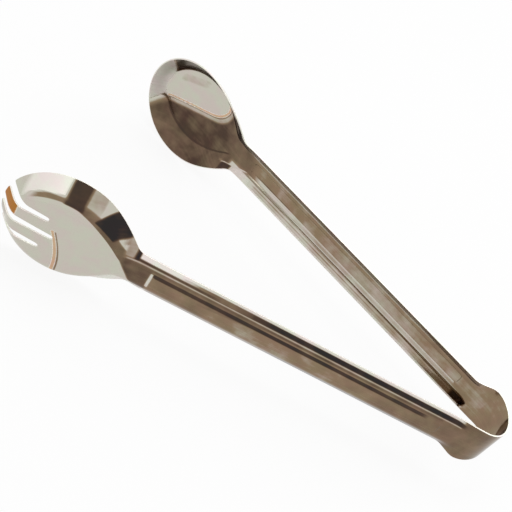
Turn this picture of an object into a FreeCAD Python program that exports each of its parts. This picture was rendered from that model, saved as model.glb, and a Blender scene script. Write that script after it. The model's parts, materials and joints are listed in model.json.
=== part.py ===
"""Serving tongs with a spoon arm and a fork arm, pressed from one strip of stainless sheet.

The strip is flat and wide where it turns through the spring bow. Each arm leaves the bow at a
tangent, folds up into a shallow channel with two flared flanges and a long embossed panel, and
opens out into an oval bowl. The bowl of the fork arm is slotted into four tines.

Arm frame: +X runs along the arm from the bow to the tip, +Y runs across the strip, and +Z points
to the inside of the tongs, with the outer face of the arm's web at Z = 0.
Part frame: +Z runs across the strip, +X points from the tips to the bow, the spoon arm is on the
+Y side, and the origin is under the middle of the part at the height of its lowest edge.
"""

import FreeCAD, Part
import math
import os

import Sketcher

# Driving dimensions, in millimetres and degrees: alias, value, meaning.
SIZES = (
    ("sheet_gauge", 0.8, "thickness of the steel sheet"),
    ("half_opening", 13.7, "angle of each arm to the middle plane, at rest"),
    ("bow_radius", 15.0, "outer radius of the spring bow"),
    ("bow_waist", 20.6, "width of the strip in the middle of the bow"),
    ("shoulder_width", 25.6, "width of the strip where it leaves the bow"),
    ("shoulder_length", 12.5, "length over which the flat strip folds into the channel"),
    ("arm_length", 242.5, "from the end of the bow to the tip of the bowl"),
    ("arm_width", 21.4, "width of the channel over its flanges"),
    ("web_width", 12.0, "width of the flat web of the channel"),
    ("flange_rise", 3.0, "height of the flange edges over the web's outer face"),
    ("fold_reach", 1.6, "how far each rounded fold reaches to either side"),
    ("tip_fold_reach", 3.4, "how far the softer fold at the bowl's tip reaches to either side"),
    ("panel_width", 7.4, "width of the embossed panel over its sloping border"),
    ("panel_bow_gap", 17.0, "from the end of the bow to the panel"),
    ("panel_bowl_gap", 0.5, "from the panel to the start of the floor's slope"),
    ("panel_depth", 0.5, "how far the panel stands out of the web"),
    ("panel_corner", 2.0, "radius of the panel's corners"),
    ("panel_draft", 40.0, "lean of the panel's border from the upright"),
    ("bowl_width", 57.8, "width of the bowl over its rim"),
    ("bowl_tip_length", 30.0, "from the widest place of the bowl to its tip"),
    ("bowl_neck_length", 34.0, "from the widest place of the bowl to its neck"),
    ("neck_reach", 5.0, "how softly the bowl's outline runs into the arm"),
    ("rim_rise", 7.2, "height of the bowl's rim over the web's outer face"),
    ("rim_length", 34.0, "length over which the flange rises to the rim, from the slope's start"),
    ("tip_drop", 0.6, "how much lower the rim is at the tip"),
    ("basin_width", 40.2, "width of the basin inside the sloping wall"),
    ("basin_tip_gap", 6.3, "from the basin to the tip of the bowl"),
    ("basin_neck_gap", 6.0, "from the bowl's neck to the start of the basin"),
    ("basin_depth", 3.0, "how far the basin's edge lies outside the web's outer face"),
    ("basin_dish", 0.9, "how much deeper the middle of the basin is"),
    ("slope_neck_gap", 9.5, "from the start of the floor's slope to the bowl's neck"),
    ("slope_middle_gap", 5.5, "from the end of the floor's slope to the widest place of the bowl"),
    ("slot_pitch", 9.0, "distance between the middle lines of the fork's slots"),
    ("slot_mouth", 4.0, "width of a slot at the bowl's tip"),
    ("slot_root", 2.4, "width of a slot at its rounded root"),
    ("middle_slot_length", 28.0, "from the root of the middle slot to the bowl's tip"),
    ("side_slot_length", 23.5, "from the roots of the side slots to the bowl's tip"),
)

PRECISION = 1.0e-4

# Distance to either side of a point at which the sheet's height is read for its normal.
PROBE = 0.05

# Share of an eased step by which the rounding of each end reaches past the straight part.
EASE_CORNER = 0.25

# Place along the arm where the panel ends, worked out in the sketches from the sheet.
PANEL_END = (
    "Sizes.arm_length - Sizes.bowl_tip_length - Sizes.bowl_neck_length"
    " - Sizes.slope_neck_gap - Sizes.panel_bowl_gap"
)

# Lengths of cuts through the bow and through the bowl, with room to spare at both ends.
ACROSS_BOW = "4 * Sizes.bow_radius"
ACROSS_BOWL = "4 * (Sizes.rim_rise + Sizes.basin_depth)"

# Zones from the middle line of the sheet to its edge, and the lines across it that set its form.
FLOOR, FOLD, WALL = range(3)
SHOULDER_LINES = 5
BOWL_LINES = 10
TIP_LINES = 11


def add_sheet(doc):
    """Put the driving dimensions into the document's spreadsheet."""
    sheet = doc.addObject("Spreadsheet::Sheet", "Sizes")
    for row, (alias, value, meaning) in enumerate(SIZES, start=1):
        sheet.set(f"A{row}", alias)
        sheet.set(f"B{row}", str(value))
        sheet.set(f"C{row}", meaning)
        sheet.setAlias(f"B{row}", alias)
    doc.recompute()
    return sheet


def spread(start, end, count):
    """Count evenly spaced values from start to end, and one more of the same spacing at each side."""
    step = (end - start) / (count - 1.0)
    return [start + step * index for index in range(-1, count + 1)]


def soft_max(a, b, reach):
    """The larger of a and b, rounded off where they are less than reach apart."""
    near = max(reach - abs(a - b), 0.0)
    return max(a, b) + near * near / (4.0 * reach)


def eased(share):
    """Step from 0 to 1 while share goes from 0 to 1: straight in the middle, soft at both ends."""
    ramp = share * (1.0 + 2.0 * EASE_CORNER) - EASE_CORNER
    return soft_max(ramp, 0.0, EASE_CORNER) - soft_max(ramp - 1.0, 0.0, EASE_CORNER)


def poles(points):
    """Poles of the cubic curve through all points but the first and last, which only set its ends."""
    net = []
    for before, point, after in zip(points, points[1:], points[2:]):
        third = (after - before) * (1.0 / 6.0)
        net += [point - third, point + third]
    return [points[1]] + net[1:-1] + [points[-2]]


def knots(count):
    """Knots and multiplicities of a smooth cubic with a knot at each of count points."""
    return [float(index) for index in range(count)], [4] + [2] * (count - 2) + [4]


def smooth_edge(points):
    """Smooth edge through all points but the first and last."""
    curve = Part.BSplineCurve()
    values, mults = knots(len(points) - 2)
    curve.buildFromPolesMultsKnots(poles(points), mults, values, False, 3)
    return curve.toShape()


def smooth_face(grid):
    """Smooth face through a grid of points, without its outer rows. Each border follows its own points."""
    net = [list(line) for line in zip(*[poles(row) for row in grid])]
    net = [list(line) for line in zip(*[poles(line) for line in net])]
    u_values, u_mults = knots(len(grid) - 2)
    v_values, v_mults = knots(len(grid[0]) - 2)
    surface = Part.BSplineSurface()
    surface.buildFromPolesMultsKnots(net, u_mults, v_mults, u_values, v_values, False, False, 3, 3)
    return surface.toShape()


def straight(first, last):
    """Grid of points that runs straight from the first line to the last."""
    before = [a * 2.0 - b for a, b in zip(first, last)]
    after = [b * 2.0 - a for a, b in zip(first, last)]
    return [before, first, last, after]


def edge_face(outer, inner):
    """Cut edge of the sheet between matching rows of its outer and inner points."""
    return Part.makeRuledSurface(smooth_edge(outer), smooth_edge(inner))


class PressedArm:
    """Form of the pressed sheet in the arm frame, shared by the spoon arm and the fork arm."""

    def __init__(self, sheet):
        for alias, _, _ in SIZES:
            setattr(self, alias, float(sheet.get(alias)))
        self.middle = self.arm_length - self.bowl_tip_length
        self.neck = self.middle - self.bowl_neck_length
        self.slope_start = self.neck - self.slope_neck_gap
        self.slope_end = self.middle - self.slope_middle_gap

    def belly(self, along, neck_length, slim, wide):
        """Half-width of an outline that swells from slim to wide along a parabola."""
        share = (self.middle - along) / neck_length
        swollen = slim + (wide - slim) * (1.0 - share * share)
        return soft_max(slim, swollen, self.neck_reach) / 2.0

    def limits(self, along):
        """Distances from the middle line to the floor's edge and the strip's edge, and the fold's reach."""
        narrowed = eased(along / self.shoulder_length)
        slim = self.shoulder_width + (self.arm_width - self.shoulder_width) * narrowed
        basin_length = self.bowl_neck_length - self.basin_neck_gap
        floor = self.belly(along, basin_length, self.web_width, self.basin_width)
        return floor, self.belly(along, self.bowl_neck_length, slim, self.bowl_width), self.fold_reach

    def tip_limits(self, angle):
        """Distances from the bowl's middle to the basin's edge and the rim, and the fold's reach there."""
        floor_tip = self.bowl_tip_length - self.basin_tip_gap
        floor = 1.0 / math.hypot(math.cos(angle) / floor_tip, 2.0 * math.sin(angle) / self.basin_width)
        rim_tip, rim_side = self.bowl_tip_length, self.bowl_width / 2.0
        rim = 1.0 / math.hypot(math.cos(angle) / rim_tip, math.sin(angle) / rim_side)
        reach = self.fold_reach + (self.tip_fold_reach - self.fold_reach) * math.cos(angle) ** 2
        return floor, rim, reach

    def edge_height(self, along):
        """Height of the strip's edge: flat at the bow, then the flange, then the rim."""
        if along > self.middle:
            share = (along - self.middle) / self.bowl_tip_length
            return self.rim_rise - self.tip_drop * share * share
        flange = self.flange_rise * eased(along / self.shoulder_length)
        lift = eased((along - self.slope_start) / self.rim_length)
        return flange + (self.rim_rise - self.flange_rise) * lift

    def bend(self, beyond, reach, zone):
        """Distance past the floor's edge along which the sheet has risen, rounded off in the fold."""
        if zone == FLOOR:
            return 0.0
        if zone == WALL:
            return beyond
        return (beyond + reach) ** 2 / (4.0 * reach)

    def height(self, along, across, zone):
        """Height of the sheet's outer face over the web's plane, by the form that it has in the zone."""
        distance = abs(across)
        floor, edge, reach = self.limits(min(along, self.middle))
        if along > self.middle:
            distance = math.hypot(along - self.middle, across)
            floor, edge, reach = self.tip_limits(math.atan2(across, along - self.middle))
        sunk = eased((along - self.slope_start) / (self.slope_end - self.slope_start))
        share = distance / (floor + reach)
        edge_share = edge / (floor + reach)
        dish = 2.0 * (share - 1.0) if zone == WALL else share * share - 1.0
        edge_base = sunk * (2.0 * self.basin_dish * (edge_share - 1.0) - self.basin_depth)
        slope = (self.edge_height(along) - edge_base) / (edge - floor)
        climb = slope * self.bend(distance - floor, reach, zone)
        return sunk * (self.basin_dish * dish - self.basin_depth) + climb

    def outer_point(self, along, across, zone):
        """Point of the outer face."""
        return FreeCAD.Vector(along, across, self.height(along, across, zone))

    def inner_point(self, along, across, zone):
        """Point of the inner face, one sheet gauge from the outer face along its normal."""
        rise_along = self.height(along + PROBE, across, zone) - self.height(along - PROBE, across, zone)
        rise_across = self.height(along, across + PROBE, zone) - self.height(along, across - PROBE, zone)
        normal = FreeCAD.Vector(-rise_along, -rise_across, 2.0 * PROBE).normalize()
        return self.outer_point(along, across, zone) + normal * self.sheet_gauge

    def distances(self, limits, zone):
        """Distances from the middle line over one zone, and one beyond each end."""
        floor, edge, reach = limits
        if zone == FLOOR:
            return spread(0.0, floor - reach, 2)
        if zone == FOLD:
            return spread(floor - reach, floor + reach, 2)
        return spread(floor + reach, edge, 2)

    def half_grid(self, point, hand, stretch, zone):
        """Grid of points over a stretch of the arm, on one side of the middle line."""
        grid = []
        for along in spread(*stretch):
            limits = self.limits(min(along, 2.0 * self.middle - along))
            grid.append([point(along, hand * across, zone) for across in self.distances(limits, zone)])
        return grid

    def tip_grid(self, point, zone):
        """Grid of points for the tip half of the bowl, in directions around the bowl's middle."""
        grid = []
        for angle in spread(-math.pi / 2.0, math.pi / 2.0, TIP_LINES):
            line = []
            for distance in self.distances(self.tip_limits(angle), zone):
                ahead = distance * math.cos(angle)
                place = point(self.middle + abs(ahead), distance * math.sin(angle), zone)
                if ahead < -PRECISION:
                    place.x = 2.0 * self.middle - place.x
                line.append(place)
            grid.append(line)
        return grid

    def grids(self, point, zone):
        """Grids of points that cover one zone of one side of the sheet."""
        grids = [self.tip_grid(point, zone)]
        for hand in (1.0, -1.0):
            shoulder = self.half_grid(point, hand, (0.0, self.shoulder_length, SHOULDER_LINES), zone)
            bowl = self.half_grid(point, hand, (self.slope_start, self.middle, BOWL_LINES), zone)
            grids += [shoulder, straight(shoulder[-2], bowl[1]), bowl]
        return grids

    def side(self, point):
        """Grids of one side of the sheet, by zone, with common points along the zones' borders."""
        zones = [self.grids(point, zone) for zone in (FLOOR, FOLD, WALL)]
        for near, far in zip(zones, zones[1:]):
            for near_grid, far_grid in zip(near, far):
                for near_line, far_line in zip(near_grid, far_grid):
                    far_line[1] = near_line[-2]
        return zones

    def blank(self):
        """Solid of the pressed sheet, with its cut edges square to the sheet."""
        faces = []
        for outers, inners in zip(self.side(self.outer_point), self.side(self.inner_point)):
            for outer, inner in zip(outers, inners):
                faces += [smooth_face(outer), smooth_face(inner)]
                if outer[1][1].x < PRECISION:
                    faces.append(edge_face(outer[1], inner[1]))
        for outer, inner in zip(outers, inners):
            faces.append(edge_face([line[-2] for line in outer], [line[-2] for line in inner]))
        shell = Part.Shell(faces)
        shell.sewShape()
        solid = Part.Solid(shell)
        if solid.Volume < 0.0:
            solid.reverse()
        return solid


def plane(body, role):
    """Origin plane of a body, such as XY_Plane."""
    return next(item for item in body.Origin.OriginFeatures if item.Role == role)


def add_sketch(body, name, role, lift=None):
    """Sketch on one of the body's origin planes, lifted off it by the expression where one is given."""
    sketch = body.newObject("Sketcher::SketchObject", name)
    sketch.AttachmentSupport = (plane(body, role), [""])
    sketch.MapMode = "FlatFace"
    if lift:
        sketch.setExpression("AttachmentOffset.Base.z", lift)
    return sketch


def fix(sketch, name, expression, *constraint):
    """Named dimension of a sketch, bound to the expression."""
    index = sketch.addConstraint(Sketcher.Constraint(*constraint))
    sketch.renameConstraint(index, name)
    sketch.setExpression(f"Constraints.{name}", expression)


def feature(body, kind, name, sketch, length):
    """Pad or Pocket made from a sketch, with its length bound to the expression."""
    item = body.newObject(f"PartDesign::{kind}", name)
    item.Profile = sketch
    item.setExpression("Length", length)
    item.Refine = False
    return item


def panel_outline(sketch, arm):
    """Rounded rectangle of the panel, between the shoulder and the start of the floor's slope."""
    left = arm.panel_bow_gap
    right = arm.slope_start - arm.panel_bowl_gap
    half = arm.panel_width / 2.0
    corner = arm.panel_corner
    vector = FreeCAD.Vector
    sides = (
        (vector(left + corner, -half, 0.0), vector(right - corner, -half, 0.0)),
        (vector(right, corner - half, 0.0), vector(right, half - corner, 0.0)),
        (vector(right - corner, half, 0.0), vector(left + corner, half, 0.0)),
        (vector(left, half - corner, 0.0), vector(left, corner - half, 0.0)),
    )
    centres = (
        vector(right - corner, corner - half, 0.0),
        vector(right - corner, half - corner, 0.0),
        vector(left + corner, half - corner, 0.0),
        vector(left + corner, corner - half, 0.0),
    )
    for start, end in sides:
        sketch.addGeometry(Part.LineSegment(start, end), False)
    for turn, centre in enumerate(centres):
        start = math.radians(90.0 * turn - 90.0)
        circle = Part.Circle(centre, vector(0.0, 0.0, 1.0), corner)
        sketch.addGeometry(Part.ArcOfCircle(circle, start, start + math.radians(90.0)), False)
    for turn in range(4):
        sketch.addConstraint(Sketcher.Constraint("Tangent", turn, 2, turn + 4, 1))
        sketch.addConstraint(Sketcher.Constraint("Tangent", turn + 4, 2, (turn + 1) % 4, 1))
        sketch.addConstraint(Sketcher.Constraint("Vertical" if turn % 2 else "Horizontal", turn))
    for other in (5, 6, 7):
        sketch.addConstraint(Sketcher.Constraint("Equal", 4, other))
    fix(sketch, "corner", "Sizes.panel_corner", "Radius", 4, corner)
    fix(sketch, "start", "Sizes.panel_bow_gap", "DistanceX", -1, 1, 3, 1, left)
    fix(sketch, "finish", PANEL_END, "DistanceX", -1, 1, 1, 1, right)
    fix(sketch, "lower", "Sizes.panel_width / 2", "DistanceY", 0, 1, -1, 1, half)
    fix(sketch, "width", "Sizes.panel_width", "DistanceY", 0, 1, 2, 2, 2.0 * half)


def add_panel(body, arm):
    """Embossed panel of an arm: raised on the outer face and sunk into the inner face."""
    raised = add_sketch(body, "RaisedPanel", "XY_Plane")
    panel_outline(raised, arm)
    outside = feature(body, "Pad", "PanelOutside", raised, "Sizes.panel_depth")
    outside.Reversed = True
    outside.setExpression("TaperAngle", "-Sizes.panel_draft")
    sunk = add_sketch(body, "SunkPanel", "XY_Plane", "Sizes.sheet_gauge")
    panel_outline(sunk, arm)
    inside = feature(body, "Pocket", "PanelInside", sunk, "Sizes.panel_depth")
    inside.setExpression("TaperAngle", "-Sizes.panel_draft")


def slot_outline(sketch, arm, length, offset, length_name, offset_expression):
    """Slot that widens from a rounded root to its mouth past the bowl's tip."""
    vector = FreeCAD.Vector
    root = arm.slot_root / 2.0
    mouth = arm.slot_mouth / 2.0
    centre = arm.arm_length - length + root
    end = arm.arm_length + arm.slot_root
    circle = Part.Circle(vector(centre, offset, 0.0), vector(0.0, 0.0, 1.0), root)
    sketch.addGeometry(Part.ArcOfCircle(circle, math.radians(90.0), math.radians(270.0)), False)
    corners = (
        vector(centre, offset - root, 0.0),
        vector(end, offset - mouth, 0.0),
        vector(end, offset + mouth, 0.0),
        vector(centre, offset + root, 0.0),
    )
    for start, finish in zip(corners, corners[1:]):
        sketch.addGeometry(Part.LineSegment(start, finish), False)
    sketch.addConstraint(Sketcher.Constraint("Tangent", 0, 2, 1, 1))
    sketch.addConstraint(Sketcher.Constraint("Coincident", 1, 2, 2, 1))
    sketch.addConstraint(Sketcher.Constraint("Coincident", 2, 2, 3, 1))
    sketch.addConstraint(Sketcher.Constraint("Tangent", 3, 2, 0, 1))
    sketch.addConstraint(Sketcher.Constraint("Vertical", 2))
    reach = f"Sizes.arm_length - Sizes.{length_name} + Sizes.slot_root / 2"
    fix(sketch, "root", "Sizes.slot_root / 2", "Radius", 0, root)
    fix(sketch, "reach", reach, "DistanceX", -1, 1, 0, 3, centre)
    fix(sketch, "offset", offset_expression, "DistanceY", -1, 1, 0, 3, offset)
    fix(sketch, "end", "Sizes.arm_length + Sizes.slot_root", "DistanceX", -1, 1, 2, 1, end)
    fix(sketch, "mouth", "Sizes.slot_mouth", "DistanceY", 2, 1, 2, 2, 2.0 * mouth)
    fix(sketch, "half", "Sizes.slot_mouth / 2", "DistanceY", 2, 1, 0, 3, mouth)


def add_slots(body, arm):
    """Three slots that part the fork's bowl into four tines."""
    middle = add_sketch(body, "MiddleSlot", "XY_Plane")
    slot_outline(middle, arm, arm.middle_slot_length, 0.0, "middle_slot_length", "0 mm")
    feature(body, "Pocket", "CutMiddleSlot", middle, ACROSS_BOWL).Midplane = True
    side = add_sketch(body, "SideSlot", "XY_Plane")
    slot_outline(side, arm, arm.side_slot_length, arm.slot_pitch, "side_slot_length", "Sizes.slot_pitch")
    cut = feature(body, "Pocket", "CutSideSlot", side, ACROSS_BOWL)
    cut.Midplane = True
    mirrored = body.newObject("PartDesign::Mirrored", "OtherSideSlot")
    mirrored.Originals = [cut]
    mirrored.MirrorPlane = (plane(body, "XZ_Plane"), [""])
    body.Tip = mirrored


def add_arm(doc, sheet, label, hand):
    """Arm pressed from sheet, placed at its end of the bow: hand is 1 on the +Y side, -1 on the other."""
    arm = PressedArm(sheet)
    blank = doc.addObject("Part::Feature", f"{label}_blank")
    blank.Shape = arm.blank()
    body = doc.addObject("PartDesign::Body", label)
    body.BaseFeature = blank
    body.Label = label
    doc.recompute()
    add_panel(body, arm)
    turn = math.radians(arm.half_opening)
    along = FreeCAD.Vector(-math.cos(turn), hand * math.sin(turn), 0.0)
    inward = FreeCAD.Vector(-math.sin(turn), -hand * math.cos(turn), 0.0)
    body.Placement = FreeCAD.Placement(
        inward * -arm.bow_radius,
        FreeCAD.Rotation(along, inward.cross(along), inward, "XZY"),
    )
    return body, arm


def add_bow(doc, sheet):
    """Spring bow: the flat strip turned about the Z axis, waisted in the middle of the bend."""
    body = doc.addObject("PartDesign::Body", "spring_bow")
    body.Label = "spring_bow"
    radius = float(sheet.bow_radius)
    inner = radius - float(sheet.sheet_gauge)
    turn = math.radians(90.0 - float(sheet.half_opening))
    normal = FreeCAD.Vector(0.0, 0.0, 1.0)
    bend = add_sketch(body, "Bend", "XY_Plane")
    arcs = [Part.ArcOfCircle(Part.Circle(FreeCAD.Vector(), normal, r), -turn, turn) for r in (radius, inner)]
    for arc in arcs:
        bend.addGeometry(arc, False)
    bend.addGeometry(Part.LineSegment(arcs[0].StartPoint, arcs[1].StartPoint), False)
    bend.addGeometry(Part.LineSegment(arcs[0].EndPoint, arcs[1].EndPoint), False)
    for arc in (0, 1):
        bend.addConstraint(Sketcher.Constraint("Coincident", arc, 3, -1, 1))
        bend.addConstraint(Sketcher.Constraint("Coincident", arc, 1, 2, arc + 1))
        bend.addConstraint(Sketcher.Constraint("Coincident", arc, 2, 3, arc + 1))
    bend.addConstraint(Sketcher.Constraint("PointOnObject", -1, 1, 2))
    bend.addConstraint(Sketcher.Constraint("PointOnObject", -1, 1, 3))
    bend.addConstraint(Sketcher.Constraint("Vertical", 0, 1, 0, 2))
    fix(bend, "outer", "Sizes.bow_radius", "Radius", 0, radius)
    fix(bend, "inner", "Sizes.bow_radius - Sizes.sheet_gauge", "Radius", 1, inner)
    reach = "Sizes.bow_radius * sin(Sizes.half_opening * 1 deg)"
    fix(bend, "reach", reach, "DistanceX", -1, 1, 0, 2, radius * math.cos(turn))
    feature(body, "Pad", "Strip", bend, "Sizes.shoulder_width").Midplane = True
    doc.recompute()
    add_waist(body, sheet)
    return body


def add_waist(body, sheet):
    """Round cuts that narrow the strip to its waist in the middle of the bend."""
    depth = (float(sheet.shoulder_width) - float(sheet.bow_waist)) / 2.0
    reach = float(sheet.bow_radius) * math.cos(math.radians(float(sheet.half_opening)))
    radius = (reach * reach + depth * depth) / (2.0 * depth)
    waist = add_sketch(body, "Waist", "YZ_Plane")
    step = "(Sizes.shoulder_width - Sizes.bow_waist)"
    end = "(Sizes.bow_radius * cos(Sizes.half_opening * 1 deg))"
    size = f"{end} * {end} / {step} + {step} / 4"
    for index, side in enumerate((1.0, -1.0)):
        centre = FreeCAD.Vector(0.0, side * (float(sheet.bow_waist) / 2.0 + radius), 0.0)
        waist.addGeometry(Part.Circle(centre, FreeCAD.Vector(0.0, 0.0, 1.0), radius), False)
        waist.addConstraint(Sketcher.Constraint("PointOnObject", index, 3, -2))
        fix(waist, f"radius{index}", size, "Radius", index, radius)
    lift = f"Sizes.bow_waist / 2 + {size}"
    fix(waist, "upper", lift, "DistanceY", -1, 1, 0, 3, float(sheet.bow_waist) / 2.0 + radius)
    fix(waist, "lower", lift, "DistanceY", 1, 3, -1, 1, float(sheet.bow_waist) / 2.0 + radius)
    feature(body, "Pocket", "CutWaist", waist, ACROSS_BOW).Midplane = True


def check_model(doc, bodies):
    """Stop where an object has failed, a cut or pad has changed nothing, or a shape isn't one solid."""
    for item in doc.Objects:
        if "Invalid" in item.State or "Error" in item.State:
            raise RuntimeError(f"{item.Label} has failed: {item.State}")
    for body in bodies:
        steps = [item for item in body.Group if item.isDerivedFrom("PartDesign::Feature")]
        for before, after in zip(steps, steps[1:]):
            if abs(after.Shape.Volume - before.Shape.Volume) < PRECISION:
                raise RuntimeError(f"{after.Label} changes nothing")
        if body.Shape.isNull() or not body.Shape.isValid() or len(body.Shape.Solids) != 1:
            raise RuntimeError(f"{body.Label} isn't one valid solid")


def centre_on_base(bodies):
    """Move the bodies together, so that the origin is under their middle at their lowest edge."""
    box = FreeCAD.BoundBox()
    for body in bodies:
        box.add(body.Shape.optimalBoundingBox(False))
    shift = FreeCAD.Vector(-box.Center.x, -box.Center.y, -box.ZMin)
    for body in bodies:
        body.Placement.Base = body.Placement.Base + shift


def main():
    """Build the tongs and write each sub-part's solid."""
    doc = FreeCAD.newDocument("ServingTongs")
    sheet = add_sheet(doc)
    bow = add_bow(doc, sheet)
    spoon, _ = add_arm(doc, sheet, "spoon_arm", 1.0)
    fork, arm = add_arm(doc, sheet, "fork_arm", -1.0)
    add_slots(fork, arm)
    bodies = (bow, spoon, fork)
    doc.recompute()
    centre_on_base(bodies)
    doc.recompute()
    check_model(doc, bodies)
    os.makedirs("parts", exist_ok=True)
    for body in bodies:
        body.Shape.exportStep(f"parts/{body.Label}.step")


if __name__ == "__main__":
    main()
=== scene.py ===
"""Serving tongs pressed from one strip of stainless steel, with a spoon arm and a fork arm.

The strip turns through a flat spring bow. Each arm leaves the bow at a tangent, folds up into a
shallow channel with two flared flanges and an embossed panel, and opens out into an oval bowl.

Arm frame, in millimetres: along runs from the bow to the tip, across runs over the strip, and
height points to the inside of the tongs, with the outer face of the channel's web at height 0.
The object's own frame, in metres, has +Z across the strip and +X from the tips to the bow.
"""

import json
import logging
import math
from dataclasses import dataclass
from enum import Enum

import bpy
import numpy as np
from mathutils import Matrix, Vector
from mathutils.geometry import delaunay_2d_cdt


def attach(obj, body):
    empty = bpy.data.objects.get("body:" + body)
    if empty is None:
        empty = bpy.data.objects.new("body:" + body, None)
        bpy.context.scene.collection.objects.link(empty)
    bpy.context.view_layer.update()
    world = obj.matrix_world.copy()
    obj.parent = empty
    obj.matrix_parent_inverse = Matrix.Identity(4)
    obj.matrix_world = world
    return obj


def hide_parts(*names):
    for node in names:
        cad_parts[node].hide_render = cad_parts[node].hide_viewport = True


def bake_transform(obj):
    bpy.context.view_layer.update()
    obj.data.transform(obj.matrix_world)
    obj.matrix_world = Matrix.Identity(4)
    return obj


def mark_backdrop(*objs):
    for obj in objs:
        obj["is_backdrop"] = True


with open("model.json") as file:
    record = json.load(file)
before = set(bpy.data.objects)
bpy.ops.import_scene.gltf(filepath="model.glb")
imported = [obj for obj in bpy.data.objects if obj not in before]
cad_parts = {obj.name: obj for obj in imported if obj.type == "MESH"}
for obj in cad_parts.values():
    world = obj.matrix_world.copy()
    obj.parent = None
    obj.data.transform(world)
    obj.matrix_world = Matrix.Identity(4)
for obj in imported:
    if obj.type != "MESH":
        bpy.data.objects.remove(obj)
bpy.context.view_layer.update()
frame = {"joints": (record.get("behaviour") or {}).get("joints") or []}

log = logging.getLogger("tongs")
Colour = tuple[float, float, float]
MM = 1.0e-3
# A limit in millimetres that lies past the edges of every piece.
WHOLE = 99.0


class Hand(Enum):
    """Which side of the middle plane an arm lies on."""

    SPOON = 1.0
    FORK = -1.0


class Measure(Enum):
    """What a band of painted reflection is measured over: places across, or distances past the
    floor's limit.
    """

    ACROSS = 0.0
    LOW_FOLD = -1.0
    HIGH_FOLD = 1.0


def soft_max(a: np.ndarray, b: np.ndarray, reach: float) -> np.ndarray:
    """The larger of a and b, plus (reach - |a - b|)^2 / (4 reach) where they are that close."""
    near = np.maximum(reach - np.abs(a - b), 0.0)
    return np.maximum(a, b) + near * near / (4.0 * reach)


def eased(share: np.ndarray) -> np.ndarray:
    """Step from 0 to 1 that is straight in the middle and soft at both ends.

    Args:
        share: Place on the step, which starts at 0 and ends at 1.

    Returns:
        The step's level at each place.
    """
    corner = 0.25
    ramp = np.asarray(share, float) * (1.0 + 2.0 * corner) - corner
    return soft_max(ramp, 0.0, corner) - soft_max(ramp - 1.0, 0.0, corner)


def smooth(share: np.ndarray) -> np.ndarray:
    """Cubic step 3t^2 - 2t^3 of the share t, held between 0 and 1."""
    t = np.clip(share, 0.0, 1.0)
    return t * t * (3.0 - 2.0 * t)


def spaced(ends: tuple[float, ...], counts: tuple[int, ...]) -> np.ndarray:
    """Rising values: between neighbouring ends as many as their count, common ends kept once."""
    runs = [np.linspace(start, end, count) for start, end, count in zip(ends, ends[1:], counts)]
    return np.concatenate([runs[0]] + [run[1:] for run in runs[1:]])


def unit(vectors: np.ndarray) -> np.ndarray:
    """Each row divided by its length."""
    shortest = 1.0e-12
    return vectors / np.maximum(np.linalg.norm(vectors, axis=-1, keepdims=True), shortest)


def grid_quads(index: np.ndarray) -> list[list[int]]:
    """Faces between neighbouring rows and columns of a grid of point numbers."""
    quads = np.stack([index[:-1, :-1], index[1:, :-1], index[1:, 1:], index[:-1, 1:]], axis=-1)
    return quads.reshape(-1, 4).tolist()


def add_object(name: str, data: bpy.types.ID) -> bpy.types.Object:
    """Link a new object with the given data to the scene.

    Args:
        name: The object's name.
        data: Its mesh, lamp or camera.

    Returns:
        The object, at the origin.
    """
    added = bpy.data.objects.new(name, data)
    bpy.context.scene.collection.objects.link(added)
    return added


def bare_tree(holder: bpy.types.Material | bpy.types.World) -> bpy.types.NodeTree:
    """Switch on the nodes of a material or a world and clear them.

    Args:
        holder: The material or the world.

    Returns:
        Its empty node tree.
    """
    holder.use_nodes = True
    holder.node_tree.nodes.clear()
    return holder.node_tree


def add_node(tree: bpy.types.NodeTree, kind: str, sockets: dict, **settings: str) -> bpy.types.Node:
    """Add a node to a tree.

    Args:
        tree: The tree.
        kind: The node's type.
        sockets: For each input, by name or number, its value or the socket that feeds it.
        settings: The node's own settings.

    Returns:
        The new node.
    """
    node = tree.nodes.new(kind)
    for name, setting in settings.items():
        setattr(node, name, setting)
    for name, value in sockets.items():
        if isinstance(value, bpy.types.NodeSocket):
            tree.links.new(value, node.inputs[name])
        else:
            node.inputs[name].default_value = value
    return node


def add_math(
    tree: bpy.types.NodeTree, operation: str, *values: float | bpy.types.NodeSocket
) -> bpy.types.NodeSocket:
    """Output of a new Math node on numbers or sockets."""
    node = add_node(tree, "ShaderNodeMath", dict(enumerate(values)), operation=operation)
    return node.outputs["Value"]


def add_range(
    tree: bpy.types.NodeTree,
    value: bpy.types.NodeSocket,
    source: tuple[float, float],
    result: tuple[float, float],
) -> bpy.types.NodeSocket:
    """Take a value from one range to another in a straight line, held at both ends.

    Args:
        tree: The tree.
        value: The socket that gives the value.
        source: The value's two ends.
        result: What the result is at each of them.

    Returns:
        The result.
    """
    sockets = {"Value": value, "From Min": source[0], "From Max": source[1]}
    sockets.update({"To Min": result[0], "To Max": result[1]})
    return add_node(tree, "ShaderNodeMapRange", sockets).outputs["Result"]


def add_ramp(
    tree: bpy.types.NodeTree, share: bpy.types.NodeSocket, stops: list[tuple[float, Colour]]
) -> bpy.types.NodeSocket:
    """Add a ramp of colours.

    Args:
        tree: The tree.
        share: Socket that gives the place on the ramp.
        stops: Places and their colours, from the lowest place.

    Returns:
        The ramp's colour.
    """
    ramp = add_node(tree, "ShaderNodeValToRGB", {"Fac": share})
    elements = ramp.color_ramp.elements
    for element, (place, colour) in zip(elements, (stops[0], stops[-1])):
        element.position = place
        element.color = (*colour, 1.0)
    for place, colour in stops[1:-1]:
        elements.new(place).color = (*colour, 1.0)
    return ramp.outputs["Color"]


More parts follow.
